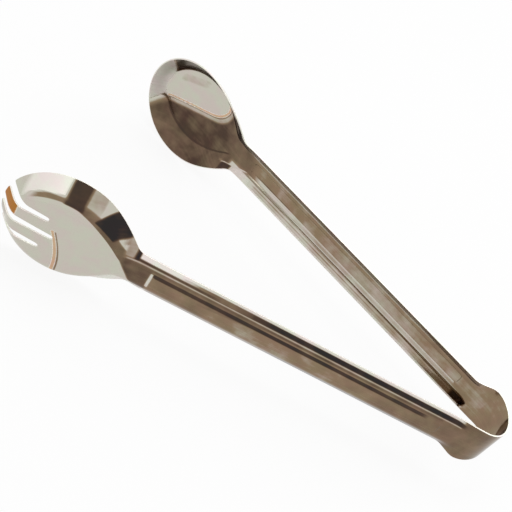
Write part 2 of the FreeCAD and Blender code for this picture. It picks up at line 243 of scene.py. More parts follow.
@dataclass(frozen=True)
class Strip:
    """The steel strip and the bow that it turns through, in millimetres and degrees."""

    gauge: float = 0.8
    edge_round: float = 0.24
    half_opening: float = 13.7
    bow_radius: float = 15.0
    bow_waist: float = 20.6
    shoulder_width: float = 25.6
    ring_count: int = 5
    # Level on the rounded cut edges: near white, a painted highlight along every edge.
    edge_highlight: float = 0.07
    pivot: tuple[float, float] = (109.09, 28.9)

    @property
    def lean(self) -> float:
        """Angle of each arm to the middle plane, in radians."""
        return math.radians(self.half_opening)

    @classmethod
    def from_joint(cls, joint: dict) -> "Strip":
        """Strip whose bow turns around the joint's axis.

        Args:
            joint: The record's hinge between the arms, with its place in metres.

        Returns:
            A strip with its pivot in millimetres.
        """
        x, _, z = joint["pos_m"]
        return cls(pivot=(x / MM, z / MM))


@dataclass(frozen=True)
class Band:
    """Part of an arm's face where the painted reflection has a level of its own: a painted brown,
    dark or black reflection, a painted shade line or a painted highlight.

    Attributes:
        start: Place along the arm where the band starts.
        end: Place along the arm where it ends.
        low: Its lower limit over the measure at the start.
        high: Its upper limit there.
        painted_reflection: Level of the painted reflection in the band, on the scale that
            PolishedSteel gives.
        measure: What the limits are measured over.
        fade: Length over which it starts and ends.
        edge: Width over which it fades at its limits.
        low_lean: How far the lower limit moves for each millimetre along.
        high_lean: How far the upper limit moves.
        slant: How far its start and its end move along for each millimetre of the measure.
    """

    start: float
    end: float
    low: float
    high: float
    painted_reflection: float
    measure: Measure = Measure.ACROSS
    fade: float = 1.5
    edge: float = 0.45
    low_lean: float = 0.0
    high_lean: float = 0.0
    slant: float = 0.0

    def paint(
        self, painted_reflection: np.ndarray, along: np.ndarray, across: np.ndarray, beyond: np.ndarray
    ) -> np.ndarray:
        """Lay the band over the painted reflection, mixed in by cubic steps at its two ends and its
        two limits.

        Args:
            painted_reflection: Level of the painted reflection so far.
            along: Places along the arm.
            across: Places across the arm.
            beyond: Distances of those places past the floor's limit.

        Returns:
            The painted reflection's level with the band on it.
        """
        level = across
        if self.measure is not Measure.ACROSS:
            level = np.where(across * self.measure.value >= 0.0, beyond, -np.inf)
        low = self.low + self.low_lean * (along - self.start)
        high = self.high + self.high_lean * (along - self.start)
        past = along - self.start - self.slant * np.maximum(level, 0.0)
        left = self.end - self.start - past
        share = smooth(past / self.fade + 0.5) * smooth(left / self.fade + 0.5)
        share = share * smooth((level - low) / self.edge + 0.5)
        share = share * smooth((high - level) / self.edge + 0.5)
        return painted_reflection + (self.painted_reflection - painted_reflection) * share


@dataclass
class Sheet:
    """A pressed sheet as points on its outer face, with what is needed to give it a thickness.

    Attributes:
        outer: Points of the outer face, in the object's frame, in millimetres.
        normal: Unit normals towards the inside of the tongs, square to the sheet.
        shading: Unit normals of the finished faces, with the panel's border in them.
        place: Distance along the strip and across it, for the finish.
        outer_reflection: Level of the painted reflection on the outer face.
        inner_reflection: Level of the painted reflection on the inner face.
        faces: Faces of the inner side, by row of outer.
        edges: Runs of rows along the cut edges, with the sheet on their right seen from inside.
        starts: Rows across the strip at its start, from low to high across.
        ends: Rows across the strip at its end, where that end is open.
    """

    outer: np.ndarray
    normal: np.ndarray
    shading: np.ndarray
    place: np.ndarray
    outer_reflection: np.ndarray
    inner_reflection: np.ndarray
    faces: list[list[int]]
    edges: list[np.ndarray]
    starts: np.ndarray
    ends: np.ndarray | None = None


@dataclass(frozen=True)
class SheetMesher:
    """Turns a pressed sheet into a closed mesh with rounded cut edges."""

    strip: Strip

    def rim(self, base: np.ndarray, normal: np.ndarray) -> tuple[np.ndarray, np.ndarray]:
        """Rings of points around a cut edge.

        A ring is the edge's run moved by r sin t outwards and r (1 - cos t) into the gauge, with t
        from 0 to a quarter turn, and then the same in reverse from the inner face.

        Args:
            base: Points along the edge on the outer face.
            normal: Sheet normals there.

        Returns:
            Points and normals of the rings between the two faces, each of shape (rings, points, 3).
        """
        run = np.gradient(base, axis=0)
        run[[0, -1]] = [self.end_run(run[0], normal[0]), self.end_run(run[-1], normal[-1])]
        outward = unit(np.cross(normal, unit(run)))
        radius = self.strip.edge_round
        turn = np.linspace(0.0, math.pi / 2.0, self.strip.ring_count)[1:, None, None]
        low = base + outward * radius * np.sin(turn) + normal * radius * (1.0 - np.cos(turn))
        low_normal = outward * np.sin(turn) - normal * np.cos(turn)
        high = low + normal * (self.strip.gauge - 2.0 * radius * (1.0 - np.cos(turn)))
        high_normal = outward * np.sin(turn) + normal * np.cos(turn)
        return np.concatenate([low, high[::-1]]), np.concatenate([low_normal, high_normal[::-1]])

    @staticmethod
    def end_run(run: np.ndarray, normal: np.ndarray) -> np.ndarray:
        """Direction at an end of a cut edge, made square to the strip so that pieces meet there.

        Args:
            run: Direction of the edge at its end.
            normal: The sheet's normal there.

        Returns:
            The direction without its parts over the strip and along the normal.
        """
        square = run.copy()
        square[2] = 0.0
        return square - normal * np.dot(square, normal)

    def build(self, name: str, sheet: Sheet) -> bpy.types.Object:
        """Make the closed mesh: outer face, inner face, rounded edges, and a cap on each open end.

        Args:
            name: Name of the new piece.
            sheet: Form of the sheet.

        Returns:
            The new object, at the origin, with its normals, its UV map and its attribute.
        """
        count = len(sheet.outer)
        points = [sheet.outer, sheet.outer + sheet.normal * self.strip.gauge]
        normals = [-sheet.shading, sheet.shading]
        places = [sheet.place, sheet.place]
        painted_reflections = [sheet.outer_reflection, sheet.inner_reflection]
        faces = [tuple(int(row) for row in face[::-1]) for face in sheet.faces]
        faces += [tuple(int(row) + count for row in face) for face in sheet.faces]
        rims = []
        total = 2 * count
        for rows in sheet.edges:
            ring, ring_normal = self.rim(sheet.outer[rows], sheet.normal[rows])
            levels, length = ring.shape[:2]
            points.append(ring.reshape(-1, 3))
            normals.append(ring_normal.reshape(-1, 3))
            places.append(np.tile(sheet.place[rows], (levels, 1)))
            # The rounded edges take the edge level: a painted highlight.
            painted_reflections.append(np.full(levels * length, self.strip.edge_highlight))
            own = total + np.arange(levels * length).reshape(levels, length)
            index = np.concatenate([rows[None], own, rows[None] + count])
            total += levels * length
            faces += [tuple(quad) for quad in grid_quads(index)]
            rims.append(index)
        faces.append(self.cap(sheet.starts, rims[0][:, 0], rims[-1][:, -1], count)[::-1])
        if sheet.ends is not None:
            faces.append(self.cap(sheet.ends, rims[0][:, -1], rims[-1][:, 0], count))
        return self.finish(name, points, normals, places, painted_reflections, faces)

    @staticmethod
    def cap(rows: np.ndarray, high: np.ndarray, low: np.ndarray, count: int) -> tuple[int, ...]:
        """Closed outline of the sheet's section: outer row, high edge, inner row and low edge."""
        loop = list(rows[:-1]) + list(high) + list(rows[::-1][1:] + count) + list(low[::-1][1:-1])
        return tuple(int(row) for row in loop)

    @staticmethod
    def finish(
        name: str, points: list, normals: list, places: list, painted_reflections: list, faces: list
    ) -> bpy.types.Object:
        """Put arrays into a mesh, with exact normals, a UV map over the sheet and its painted
        reflection.

        Args:
            name: Name of the new piece.
            points: Arrays of points, in millimetres.
            normals: Arrays of their normals.
            places: Arrays of their places along and across the strip.
            painted_reflections: Arrays of the painted reflection's level there.
            faces: Point numbers of each face.

        Returns:
            The new object, at the origin.
        """
        mesh = bpy.data.meshes.new(name)
        mesh.from_pydata((np.concatenate(points) * MM).tolist(), [], faces)
        mesh.polygons.foreach_set("use_smooth", np.ones(len(mesh.polygons), bool))
        corner = np.zeros(len(mesh.loops), np.int32)
        mesh.loops.foreach_get("vertex_index", corner)
        chart = mesh.uv_layers.new(name="Sheet")
        spots = (np.concatenate(places) * MM)[corner]
        chart.data.foreach_set("uv", spots.astype(np.float32).ravel())
        # Attribute with the level of painted reflection, highlight and shade that picks the steel's
        # colour.
        painted_reflection = mesh.attributes.new("painted_reflection", "FLOAT", "POINT")
        painted_reflection.data.foreach_set("value", np.concatenate(painted_reflections).astype(np.float32))
        mesh.update()
        mesh.normals_split_custom_set_from_vertices(unit(np.concatenate(normals)).tolist())
        return add_object(name, mesh)


LOW, HIGH = Measure.LOW_FOLD, Measure.HIGH_FOLD
# Painted reflection on the spoon arm's inner channel: a brown painted reflection, a darker neck,
# and pale painted highlight lines and dark painted lines along the flanges.
SPOON_CHANNEL = (
    Band(-WHOLE, 60.0, -WHOLE, WHOLE, 1.08, fade=50.0),
    Band(5.0, 125.0, -3.0, 3.0, 0.86, fade=30.0, edge=1.5),
    Band(167.0, 196.0, -7.0, 6.5, 1.5, fade=10.0, edge=1.5),
    Band(50.0, 176.0, -9.3, -8.4, 0.45, fade=30.0),
    Band(40.0, 176.0, -7.7, -6.1, 0.3, fade=30.0),
    Band(40.0, 180.0, -11.0, -9.9, 1.7, fade=30.0),
    Band(18.0, 162.0, 3.9, 5.6, 0.74, fade=12.0),
    Band(18.0, 162.0, 3.1, 3.9, 0.55),
    Band(131.0, 162.0, 3.2, 5.2, 0.45, fade=8.0),
    Band(138.0, 163.0, 2.5, 2.9, 1.7, fade=6.0),
    Band(16.0, 168.0, 5.6, 7.0, 0.4, fade=16.0),
    Band(8.0, 178.0, 6.9, 7.3, 0.95, fade=4.0, edge=0.3),
    Band(8.0, 178.0, 7.3, 9.6, 0.62, fade=4.0),
    Band(10.0, 75.0, 7.3, 10.2, 0.85, fade=40.0),
    Band(8.0, 178.0, 8.2, 8.6, 0.95, fade=4.0, edge=0.3),
    Band(7.5, 16.0, 7.0, 9.8, 2.4, fade=2.5),
    Band(8.0, 178.0, 9.8, 11.0, 0.1, fade=4.0),
    Band(163.0, 181.0, 7.4, 12.0, 0.12, fade=6.0),
)
# Painted reflection on the spoon's bowl: the high wall painted dark brown where it mirrors the
# floor below, dark lines at the folds and pale painted highlights towards the tip.
SPOON_BOWL = (
    Band(181.0, 262.0, 0.6, WHOLE, 1.6, HIGH, fade=3.0, edge=0.7),
    Band(224.0, 241.0, -1.6, 0.8, 0.25, LOW, fade=4.0, edge=0.8),
    Band(188.0, 222.0, 3.0, WHOLE, 1.85, HIGH, fade=16.0, edge=6.0),
    Band(184.0, 229.0, -0.2, 0.9, 2.1, HIGH, fade=3.0),
    Band(170.0, 185.6, 5.6, 6.3, 0.3, fade=4.0, edge=0.4, low_lean=0.38, high_lean=0.38),
    Band(178.5, 184.0, 9.2, WHOLE, 2.4, fade=1.6, edge=0.6, low_lean=0.4),
    Band(233.0, 262.0, 0.6, WHOLE, 0.1, HIGH, fade=4.4, edge=0.7, slant=0.6),
    Band(176.0, 235.0, 0.2, WHOLE, 1.9, LOW, fade=1.6, edge=0.8),
    Band(196.0, 209.0, 0.6, 6.0, 1.0, LOW, fade=6.0, edge=2.0),
    Band(197.0, 226.0, -0.9, 0.7, 0.75, LOW, fade=4.0, edge=0.8),
    Band(213.5, 231.5, -18.5, -12.5, 0.68, fade=7.0, edge=3.5, low_lean=0.5, high_lean=0.5),
    Band(235.0, 260.0, 0.2, WHOLE, 0.08, LOW, fade=1.6, edge=0.8),
)
# Painted reflection on the fork arm's outer channel: a brown painted reflection on the web, a dark
# painted shade line at the panel's border, dark and white painted bands on the flanges, and a
# darker neck.
FORK_CHANNEL = (
    Band(-WHOLE, 45.0, -WHOLE, WHOLE, 1.46, fade=90.0),
    Band(113.0, 169.0, 4.0, 12.0, 1.4, low_lean=-0.112, high_lean=-0.112, edge=0.7),
    Band(140.0, 169.0, -8.0, 3.2, 1.2, fade=20.0),
    Band(26.4, 168.0, 3.2, 5.0, 2.5, edge=0.5),
    Band(18.0, 184.0, 5.8, 6.8, 1.6, edge=0.35),
    Band(8.5, 184.0, 6.9, 7.5, 0.72, edge=0.35),
    Band(8.5, 150.0, 7.6, 9.5, 2.9, fade=6.0),
    Band(118.0, 184.0, 7.6, 9.5, 1.3, fade=36.0),
    Band(140.0, 184.0, 7.6, 8.4, 2.0, fade=16.0),
    Band(8.5, 184.0, 9.5, 12.0, 0.12, fade=3.0),
    Band(150.0, 184.0, 8.6, 12.0, 0.05, fade=16.0),
    Band(169.0, 190.0, -WHOLE, 6.2, 1.75, fade=1.0),
    Band(168.1, 169.5, -4.4, 4.7, 0.12, fade=0.7, edge=1.2),
    Band(14.0, 168.0, 1.2, WHOLE, 2.2, LOW, fade=16.0),
    Band(110.0, 168.0, 1.2, WHOLE, 1.3, LOW, fade=40.0),
    Band(168.0, 260.0, 1.6, WHOLE, 0.1, LOW, fade=6.0),
)
# Painted reflection on the fork's bowl: pale and white painted highlights, black and dark painted
# reflection bands on the high wall, and a painted orange reflection on a tine.
FORK_BOWL = (
    Band(176.0, 232.0, 0.3, WHOLE, 0.04, LOW, fade=6.0, edge=1.4),
    Band(186.0, 260.0, 1.0, WHOLE, 0.3, HIGH, fade=6.0),
    Band(200.0, 209.0, 2.5, WHOLE, 0.72, HIGH, fade=2.0),
    Band(217.0, 235.0, 1.8, WHOLE, 0.06, HIGH, fade=4.0, edge=1.2),
    Band(183.0, 213.0, -2.4, 3.2, 1.45, HIGH, fade=3.0, edge=0.5, low_lean=0.12, high_lean=-0.015),
    Band(213.0, 230.0, 1.1, 2.75, 1.25, HIGH, fade=9.0, edge=0.5),
    Band(192.0, 202.2, 1.0, WHOLE, 3.0, HIGH, fade=1.4, slant=-0.85),
    Band(208.0, 216.6, 0.9, WHOLE, 2.25, HIGH, fade=2.2),
    Band(177.0, 179.5, 7.6, 12.0, 2.8, fade=1.0),
    Band(179.0, 184.0, 1.6, WHOLE, 0.8, HIGH, fade=2.0, edge=1.0),
    Band(233.8, 260.0, 2.2, 8.4, -1.2, fade=0.8, edge=0.6),
    Band(237.5, 260.0, -7.4, -2.0, 0.85, fade=3.0),
)


class SteelPiece:
    """A piece of the strip, which wears the strip's steel."""

    @staticmethod
    def dress(piece: bpy.types.Object, steel: bpy.types.Material) -> None:
        """Give the piece its finish, and the slot that the finish fills."""
        piece.data.materials.append(steel)


@dataclass
class PressedArm(SteelPiece):
    """One arm: channel, flanges, embossed panel and oval bowl. Sizes in millimetres."""

    strip: Strip
    hand: Hand
    arm_length: float = 242.5
    shoulder_length: float = 12.5
    arm_width: float = 21.4
    web_width: float = 12.0
    flange_rise: float = 3.0
    fold_reach: float = 1.6
    tip_fold_reach: float = 3.4
    panel_width: float = 7.4
    panel_start: float = 17.0
    panel_end: float = 168.5
    panel_depth: float = 0.5
    panel_border: float = 0.7
    panel_corner: float = 2.0
    bowl_width: float = 57.8
    bowl_tip: float = 30.0
    bowl_neck: float = 34.0
    neck_reach: float = 5.0
    rim_rise: float = 7.2
    rim_length: float = 34.0
    tip_drop: float = 0.6
    basin_width: float = 40.2
    basin_tip: float = 23.7
    basin_neck: float = 28.0
    basin_depth: float = 3.0
    basin_dish: float = 0.9
    slope_start: float = 169.0
    slope_end: float = 207.0
    fold_lines: int = 15
    wall_lines: int = 13
    rim_points: int = 500
    ring_spacing: float = 0.6
    rim_margin: float = 0.22
    shown_inside: bool = True
    # Levels of painted reflection: the far face goes bright past the neck, the basin is painted
    # dark brown near the neck, and a pale painted field edged by a thin painted reflection line
    # lies towards the tip.
    bright_reflection: float = 0.27
    bright_fade: float = 20.0
    channel_bands: tuple[Band, ...] = SPOON_CHANNEL
    bowl_bands: tuple[Band, ...] = SPOON_BOWL
    basin_reflection: float = 1.9
    basin_lead: float = 4.0
    basin_fade: float = 22.0
    field_along: float = 206.7
    field_across: float = -1.7
    field_turn: float = 0.377
    field_start: float = 196.7
    field_inset: float = 0.6
    field_corners: tuple[float, float] = (10.0, 4.0)
    field_steps: tuple[float, ...] = (-0.5, -0.1, 0.75, 1.05, 1.35, 1.7, 3.0)
    field_films: tuple[float, ...] = (0.3, -0.5, -0.5, 1.2, 1.2, 0.68, 0.8)
    field_fade: float = 1.4

    @property
    def middle(self) -> float:
        """Place along the arm of the bowl's widest line."""
        return self.arm_length - self.bowl_tip

    @property
    def neck(self) -> float:
        """Place along the arm where the bowl starts to swell."""
        return self.middle - self.bowl_neck

    def belly(self, along: np.ndarray, length: float, slim: np.ndarray, wide: float) -> np.ndarray:
        """Half-width of an outline that swells from slim to wide along a parabola."""
        share = (self.middle - along) / length
        return soft_max(slim, slim + (wide - slim) * (1.0 - share * share), self.neck_reach) / 2.0

    def limits(self, along: np.ndarray, across: np.ndarray) -> tuple[np.ndarray, ...]:
        """Distances from the middle line or the bowl's middle, and where floor and strip end.

        Before the bowl's middle they are half-widths. Beyond it they are the radii of two ellipses
        in the direction of the place.

        Args:
            along: Places along the arm.
            across: Places across the arm.

        Returns:
            The distances, the floor's limits, the strip's limits and the reach of the fold.
        """
        shortest = 1.0e-9
        before = np.minimum(along, self.middle)
        narrowing = eased(before / self.shoulder_length)
        slim = self.strip.shoulder_width + (self.arm_width - self.strip.shoulder_width) * narrowing
        floor = self.belly(before, self.basin_neck, self.web_width, self.basin_width)
        edge = self.belly(before, self.bowl_neck, slim, self.bowl_width)
        ahead = np.maximum(along - self.middle, 0.0)
        reach = np.hypot(ahead, across)
        cosine = np.where(reach > 0.0, ahead / np.maximum(reach, shortest), 0.0)
        sine = np.sqrt(1.0 - cosine * cosine)
        in_tip = along > self.middle
        floor_tip = 1.0 / np.hypot(cosine / self.basin_tip, 2.0 * sine / self.basin_width)
        edge_tip = 1.0 / np.hypot(cosine / self.bowl_tip, 2.0 * sine / self.bowl_width)
        soft = self.fold_reach + (self.tip_fold_reach - self.fold_reach) * cosine * cosine
        return reach, np.where(in_tip, floor_tip, floor), np.where(in_tip, edge_tip, edge), soft

    def edge_height(self, along: np.ndarray) -> np.ndarray:
        """Height of the strip's edge: flat at the bow, then the flange, then the rim.

        It steps up twice, and falls towards the tip by a parabola.

        Args:
            along: Places along the arm.

        Returns:
            The edge's height at each place.
        """
        lift = eased((along - self.slope_start) / self.rim_length)
        rise = self.flange_rise * eased(along / self.shoulder_length)
        before = rise + (self.rim_rise - self.flange_rise) * lift
        share = (along - self.middle) / self.bowl_tip
        return np.where(along > self.middle, self.rim_rise - self.tip_drop * share * share, before)

    def height(self, along: np.ndarray, across: np.ndarray) -> np.ndarray:
        """Height of the outer face without its panel.

        The floor lies at the web, sinks by the basin's depth and is dished by a parabola. Past the
        floor's limit the sheet climbs at a constant slope to its edge, and between them a second
        parabola rounds the fold.

        Args:
            along: Places along the arm.
            across: Places across the arm.

        Returns:
            The height at each place.
        """
        distance, floor, edge, soft = self.limits(along, across)
        sunk = eased((along - self.slope_start) / (self.slope_end - self.slope_start))
        share = distance / (floor + soft)
        edge_share = edge / (floor + soft)
        dish = np.where(share > 1.0, 2.0 * (share - 1.0), share * share - 1.0)
        edge_base = sunk * (2.0 * self.basin_dish * (edge_share - 1.0) - self.basin_depth)
        slope = (self.edge_height(along) - edge_base) / (edge - floor)
        beyond = distance - floor
        fold = np.maximum(beyond + soft, 0.0) ** 2 / (4.0 * soft)
        bend = np.where(beyond > soft, beyond, fold)
        return sunk * (self.basin_dish * dish - self.basin_depth) + slope * bend

    def relief(self, along: np.ndarray, across: np.ndarray) -> np.ndarray:
        """How far the embossed panel stands out: a cubic step over the distance inside its outline.

        Args:
            along: Places along the arm.
            across: Places across the arm.

        Returns:
            The relief at each place, towards the outside.
        """
        middle = (self.panel_start + self.panel_end) / 2.0
        half_length = (self.panel_end - self.panel_start) / 2.0
        over_along = np.abs(along - middle) - (half_length - self.panel_corner)
        over_across = np.abs(across) - (self.panel_width / 2.0 - self.panel_corner)
        beyond = np.hypot(np.maximum(over_along, 0.0), np.maximum(over_across, 0.0))
        inside = self.panel_corner - beyond - np.minimum(np.maximum(over_along, over_across), 0.0)
        return self.panel_depth * smooth(inside / self.panel_border)

    def normals(self, along: np.ndarray, across: np.ndarray, embossed: bool) -> np.ndarray:
        """Unit normals to the inside, from central differences of the height.

        Args:
            along: Places along the arm.
            across: Places across the arm.
            embossed: Whether the panel shows in them.

        Returns:
            One normal for each place, in the arm frame.
        """
        step = 2.0e-3

        def level(a: np.ndarray, b: np.ndarray) -> np.ndarray:
            """Height at places a along and b across."""
            return self.height(a, b) - (self.relief(a, b) if embossed else 0.0)

        rise_along = (level(along + step, across) - level(along - step, across)) / (2.0 * step)
        rise_across = (level(along, across + step) - level(along, across - step)) / (2.0 * step)
        return unit(np.stack([-rise_along, -rise_across, np.ones_like(along)], axis=-1))

    def placed(self, vectors: np.ndarray, from_bow: bool) -> np.ndarray:
        """Turn vectors of the arm frame into the object's frame.

        Args:
            vectors: Rows of along, across and height.
            from_bow: Whether they are places, which start at the bow's end, or only directions.

        Returns:
            The rows in the object's frame, in millimetres.
        """
        hand, lean = self.hand.value, self.strip.lean
        cosine, sine = math.cos(lean), math.sin(lean)
        turn = np.array(
            [[-cosine, 0.0, -sine], [hand * sine, 0.0, -hand * cosine], [0.0, -hand, 0.0]]
        )
        radius = self.strip.bow_radius
        x, z = self.strip.pivot
        start = np.array([x + radius * sine, hand * radius * cosine, z]) if from_bow else 0.0
        return vectors @ turn.T + start

    @staticmethod
    def floor_shares() -> np.ndarray:
        """Lines over half the floor as shares of it, closer together at the panel's border."""
        ends, counts = (0.0, 1.7, 2.85, 3.75, 4.4), (18, 12, 12, 8)
        return spaced(ends, counts) / ends[-1]

    def lines(self, floor: np.ndarray, edge: np.ndarray, soft: np.ndarray) -> np.ndarray:
        """Distances from the middle of the lines over floor, fold and wall.

        Args:
            floor: The floor's limits.
            edge: The strip's limits.
            soft: The reach of the fold on both sides of the floor's limit.

        Returns:
            One row of rising distances for each limit.
        """
        floor, edge, soft = (np.atleast_1d(limit)[:, None] for limit in (floor, edge, soft))
        start, finish = floor - soft, floor + soft
        last = edge - self.strip.edge_round
        fold = start + (finish - start) * np.linspace(0.0, 1.0, self.fold_lines)[None, 1:]
        wall = finish + (last - finish) * np.linspace(0.0, 1.0, self.wall_lines)[None, 1:]
        return np.concatenate([start * self.floor_shares()[None], fold, wall], axis=1)

    def stations(self) -> np.ndarray:
        """Places of the cross lines up to the bowl's middle, closer together at the panel's ends.

        Returns:
            Rising places along the arm.
        """
        margin, past_corner = 0.3, 0.8
        near = self.panel_start - margin
        far = self.panel_end + margin
        turn = self.panel_corner + past_corner
        ends = (0.0, self.shoulder_length, near, near + turn, far - turn, far, self.middle)
        counts = (29, 4, 21, 30, 21, 110)
        return spaced(ends, counts)

    def channel(self) -> tuple[np.ndarray, int, int]:
        """Places on the grid from the bow to the bowl's middle.

        Returns:
            The places, the number of stations and the number of lines across.
        """
        along = self.stations()
        half = self.lines(*self.limits(along, np.zeros_like(along))[1:])
        across = np.concatenate([-half[:, :0:-1], half], axis=1)
        places = np.stack([np.broadcast_to(along[:, None], across.shape), across], axis=-1)
        return places.reshape(-1, 2), across.shape[0], across.shape[1]

    def tip_outline(self) -> np.ndarray:
        """Outline of the bowl's tip half: half an ellipse.

        Returns:
            Places relative to the bowl's middle, from high to low across.
        """
        angle = np.linspace(math.pi / 2.0, -math.pi / 2.0, self.rim_points)
        wide = self.bowl_width / 2.0
        return np.stack([self.bowl_tip * np.cos(angle), wide * np.sin(angle)], axis=-1)

    def softened(self, outline: np.ndarray) -> np.ndarray:
        """Outline spaced evenly, rounded by a bell-shaped mean, and moved in by the edge's radius.

        The first and last stretch stay as they are, so that the outline meets the channel's edges.

        Args:
            outline: Places in order, from high to low across.

        Returns:
            The new places, in the same order.
        """
        spacing, spread, calm, window = 0.16, 0.55, 3.0, 14
        steps = np.linalg.norm(np.diff(outline, axis=0), axis=1)
        length = np.concatenate([[0.0], np.cumsum(steps)])
        count = int(length[-1] / spacing)
        even = np.linspace(0.0, length[-1], count)
        path = np.stack([np.interp(even, length, column) for column in outline.T], axis=-1)
        span = np.arange(-window, window + 1)
        bell = np.exp(-((span * spacing / spread) ** 2) / 2.0)
        bell = bell / bell.sum()
        padded = np.pad(path, ((window, window), (0, 0)), mode="edge")
        mean = np.stack([np.convolve(column, bell, mode="valid") for column in padded.T], axis=-1)
        own = smooth(np.minimum(even, even[-1] - even)[:, None] / calm)
        path = path + (mean - path) * own
        run = unit(np.gradient(path, axis=0))
        inward = np.stack([run[:, 1], -run[:, 0]], axis=-1)
        return path + inward * self.strip.edge_round

    def tip_places(self) -> np.ndarray:
        """Places on rings between the bowl's middle and its rim, denser where the sheet folds.

        Returns:
            The places, relative to the bowl's middle.
        """
        rings = []
        fewest = 4
        quarter = math.pi / 2.0
        widest = self.lines(self.basin_width / 2.0, self.bowl_width / 2.0, self.fold_reach)[0]
        for number, size in enumerate(widest[1:-1], start=1):
            count = max(int(math.pi * size / self.ring_spacing), fewest)
            angle = np.linspace(-quarter, quarter, count + 2)[1:-1]
            limits = self.limits(self.middle + np.cos(angle), np.sin(angle))[1:]
            distance = self.lines(*limits)[:, number]
            rings.append(np.stack([distance * np.cos(angle), distance * np.sin(angle)], axis=-1))
        return np.concatenate(rings)

    @staticmethod
    def inside(places: np.ndarray, outline: np.ndarray, margin: float) -> np.ndarray:
        """Which places lie within a closed outline and further than a margin from it.

        A place is inside where a ray from it crosses the outline an odd number of times.

        Args:
            places: The places.
            outline: Corners of the outline in order.
            margin: Least distance from a corner.

        Returns:
            True for each place inside.
        """
        after = np.roll(outline, -1, axis=0)
        x, y = places[:, 0, None], places[:, 1, None]
        run, rise = (after - outline).T
        crosses = (outline[:, 1] > y) != (after[:, 1] > y)
        meet = outline[:, 0] + (y - outline[:, 1]) / np.where(rise == 0.0, 1.0, rise) * run
        odd = (crosses & (x < meet)).sum(axis=1) % 2 == 1
        return odd & (np.hypot(x - outline[:, 0], y - outline[:, 1]).min(axis=1) > margin)

    def tip(self, line: np.ndarray) -> tuple[np.ndarray, np.ndarray, list]:
        """Places and triangles of the bowl's tip half, joined to the channel's last line.

        Args:
            line: The channel's last line, relative to the bowl's middle, from low to high across.

        Returns:
            New places, the outline among them in order, and triangles whose numbers count the
            line's places first.
        """
        inside_border, tolerance = 1, 1.0e-6
        outline = self.softened(self.tip_outline())[1:-1]
        loop = np.concatenate([line, outline])
        rings = self.tip_places()
        rings = rings[self.inside(rings, loop, self.rim_margin)]
        places = np.concatenate([loop, rings])
        size = len(loop)
        border = [(row, (row + 1) % size) for row in range(size)]
        vectors = [Vector(place) for place in places]
        found = delaunay_2d_cdt(vectors, border, [], inside_border, tolerance, True)
        source = [rows[0] for rows in found[3]]
        corner = np.array([[source[row] for row in face] for face in found[2]])
        corner = corner[self.inside(places[corner].mean(axis=1), loop, 0.0)]
        a, b, c = (places[corner[:, k]] for k in range(3))
        turn = (b[:, 0] - a[:, 0]) * (c[:, 1] - a[:, 1]) - (b[:, 1] - a[:, 1]) * (c[:, 0] - a[:, 0])
        corner[turn < 0.0] = corner[turn < 0.0][:, ::-1]
        return np.concatenate([outline, rings]), np.arange(len(outline)), corner.tolist()

    def sheet(self) -> Sheet:
        """Form of the whole arm: a grid for the channel and triangles for the bowl's tip half.

        Returns:
            The sheet, with its painted reflection.
        """
        grid, rows, columns = self.channel()
        index = np.arange(rows * columns).reshape(rows, columns)
        middle = np.array([self.middle, 0.0])
        added, outline, triangles = self.tip(grid[index[-1]] - middle)
        numbers = np.concatenate([index[-1], rows * columns + np.arange(len(added))])
        place = np.concatenate([grid, added + middle])
        edge = np.concatenate([index[:, -1], rows * columns + outline, index[::-1, 0]])
        along, across = place.T
        level = self.height(along, across) - self.relief(along, across)
        outer = np.stack([along, across, level], axis=-1)
        return Sheet(
            outer=self.placed(outer, True),
            normal=self.placed(self.normals(along, across, False), False),
            shading=self.placed(self.normals(along, across, True), False),
            place=place,
            outer_reflection=self.painted_reflection(along, across, False),
            inner_reflection=self.painted_reflection(along, across, True),
            faces=grid_quads(index) + numbers[np.array(triangles)].tolist(),
            edges=[edge],
            starts=index[0],
        )

    def painted_reflection(self, along: np.ndarray, across: np.ndarray, inner: bool) -> np.ndarray:
        """Level of the painted reflection: bands over the channel, then the bowl's floor, then its
        walls.

        The face on the far side is plain: a painted brown reflection along the channel, and bright
        on the bowl.

        Args:
            along: Places along the arm.
            across: Places across the arm.
            inner: Whether the places are on the inner face.

        Returns:
            The painted reflection's level at each place.
        """
        painted_reflection = np.ones_like(along)
        if inner != self.shown_inside:
            return painted_reflection + (self.bright_reflection - painted_reflection) * smooth((along - self.neck) / self.bright_fade)
        distance, floor, _, _ = self.limits(along, across)
        beyond = distance - floor
        for band in self.channel_bands:
            painted_reflection = band.paint(painted_reflection, along, across, beyond)
        painted_reflection = self.floor_reflection(painted_reflection, along, across, beyond)
        for band in self.bowl_bands:
            painted_reflection = band.paint(painted_reflection, along, across, beyond)
        return painted_reflection

    def floor_reflection(
        self, painted_reflection: np.ndarray, along: np.ndarray, across: np.ndarray, beyond: np.ndarray
    ) -> np.ndarray:
        """Painted reflection on a basin's floor: high and dark near the neck, and low and pale in a
        rounded field towards the tip.

        The field is bounded by a slanted line, by a line across the arm and by the fold. Its signed
        distance is the soft maximum of the three, and a thin painted reflection line runs along it.

        Args:
            painted_reflection: Level of the painted reflection so far.
            along: Places along the arm.
            across: Places across the arm.
            beyond: Distances of those places past the floor's limit.

        Returns:
            The painted reflection's level with the floor's on it.
        """
        started = along - self.neck + self.basin_lead
        painted_reflection = painted_reflection + (self.basin_reflection - painted_reflection) * smooth(started / self.basin_fade)
        slanted = (across - self.field_across) * math.cos(self.field_turn)
        slanted = slanted - (along - self.field_along) * math.sin(self.field_turn)
        folded = np.where(across < 0.0, beyond, -WHOLE) + self.field_inset
        start_corner, fold_corner = self.field_corners
        outside = soft_max(slanted, self.field_start - along, start_corner)
        outside = soft_max(outside, folded, fold_corner)
        line = np.interp(outside, self.field_steps, self.field_films)
        left = smooth((outside - self.field_steps[-1]) / self.field_fade)
        return painted_reflection + (line - painted_reflection) * (1.0 - left)

    def build(self) -> bpy.types.Object:
        """Make the arm's closed mesh."""
        return SheetMesher(self.strip).build(f"{self.hand.name.lower()}_arm_sheet", self.sheet())


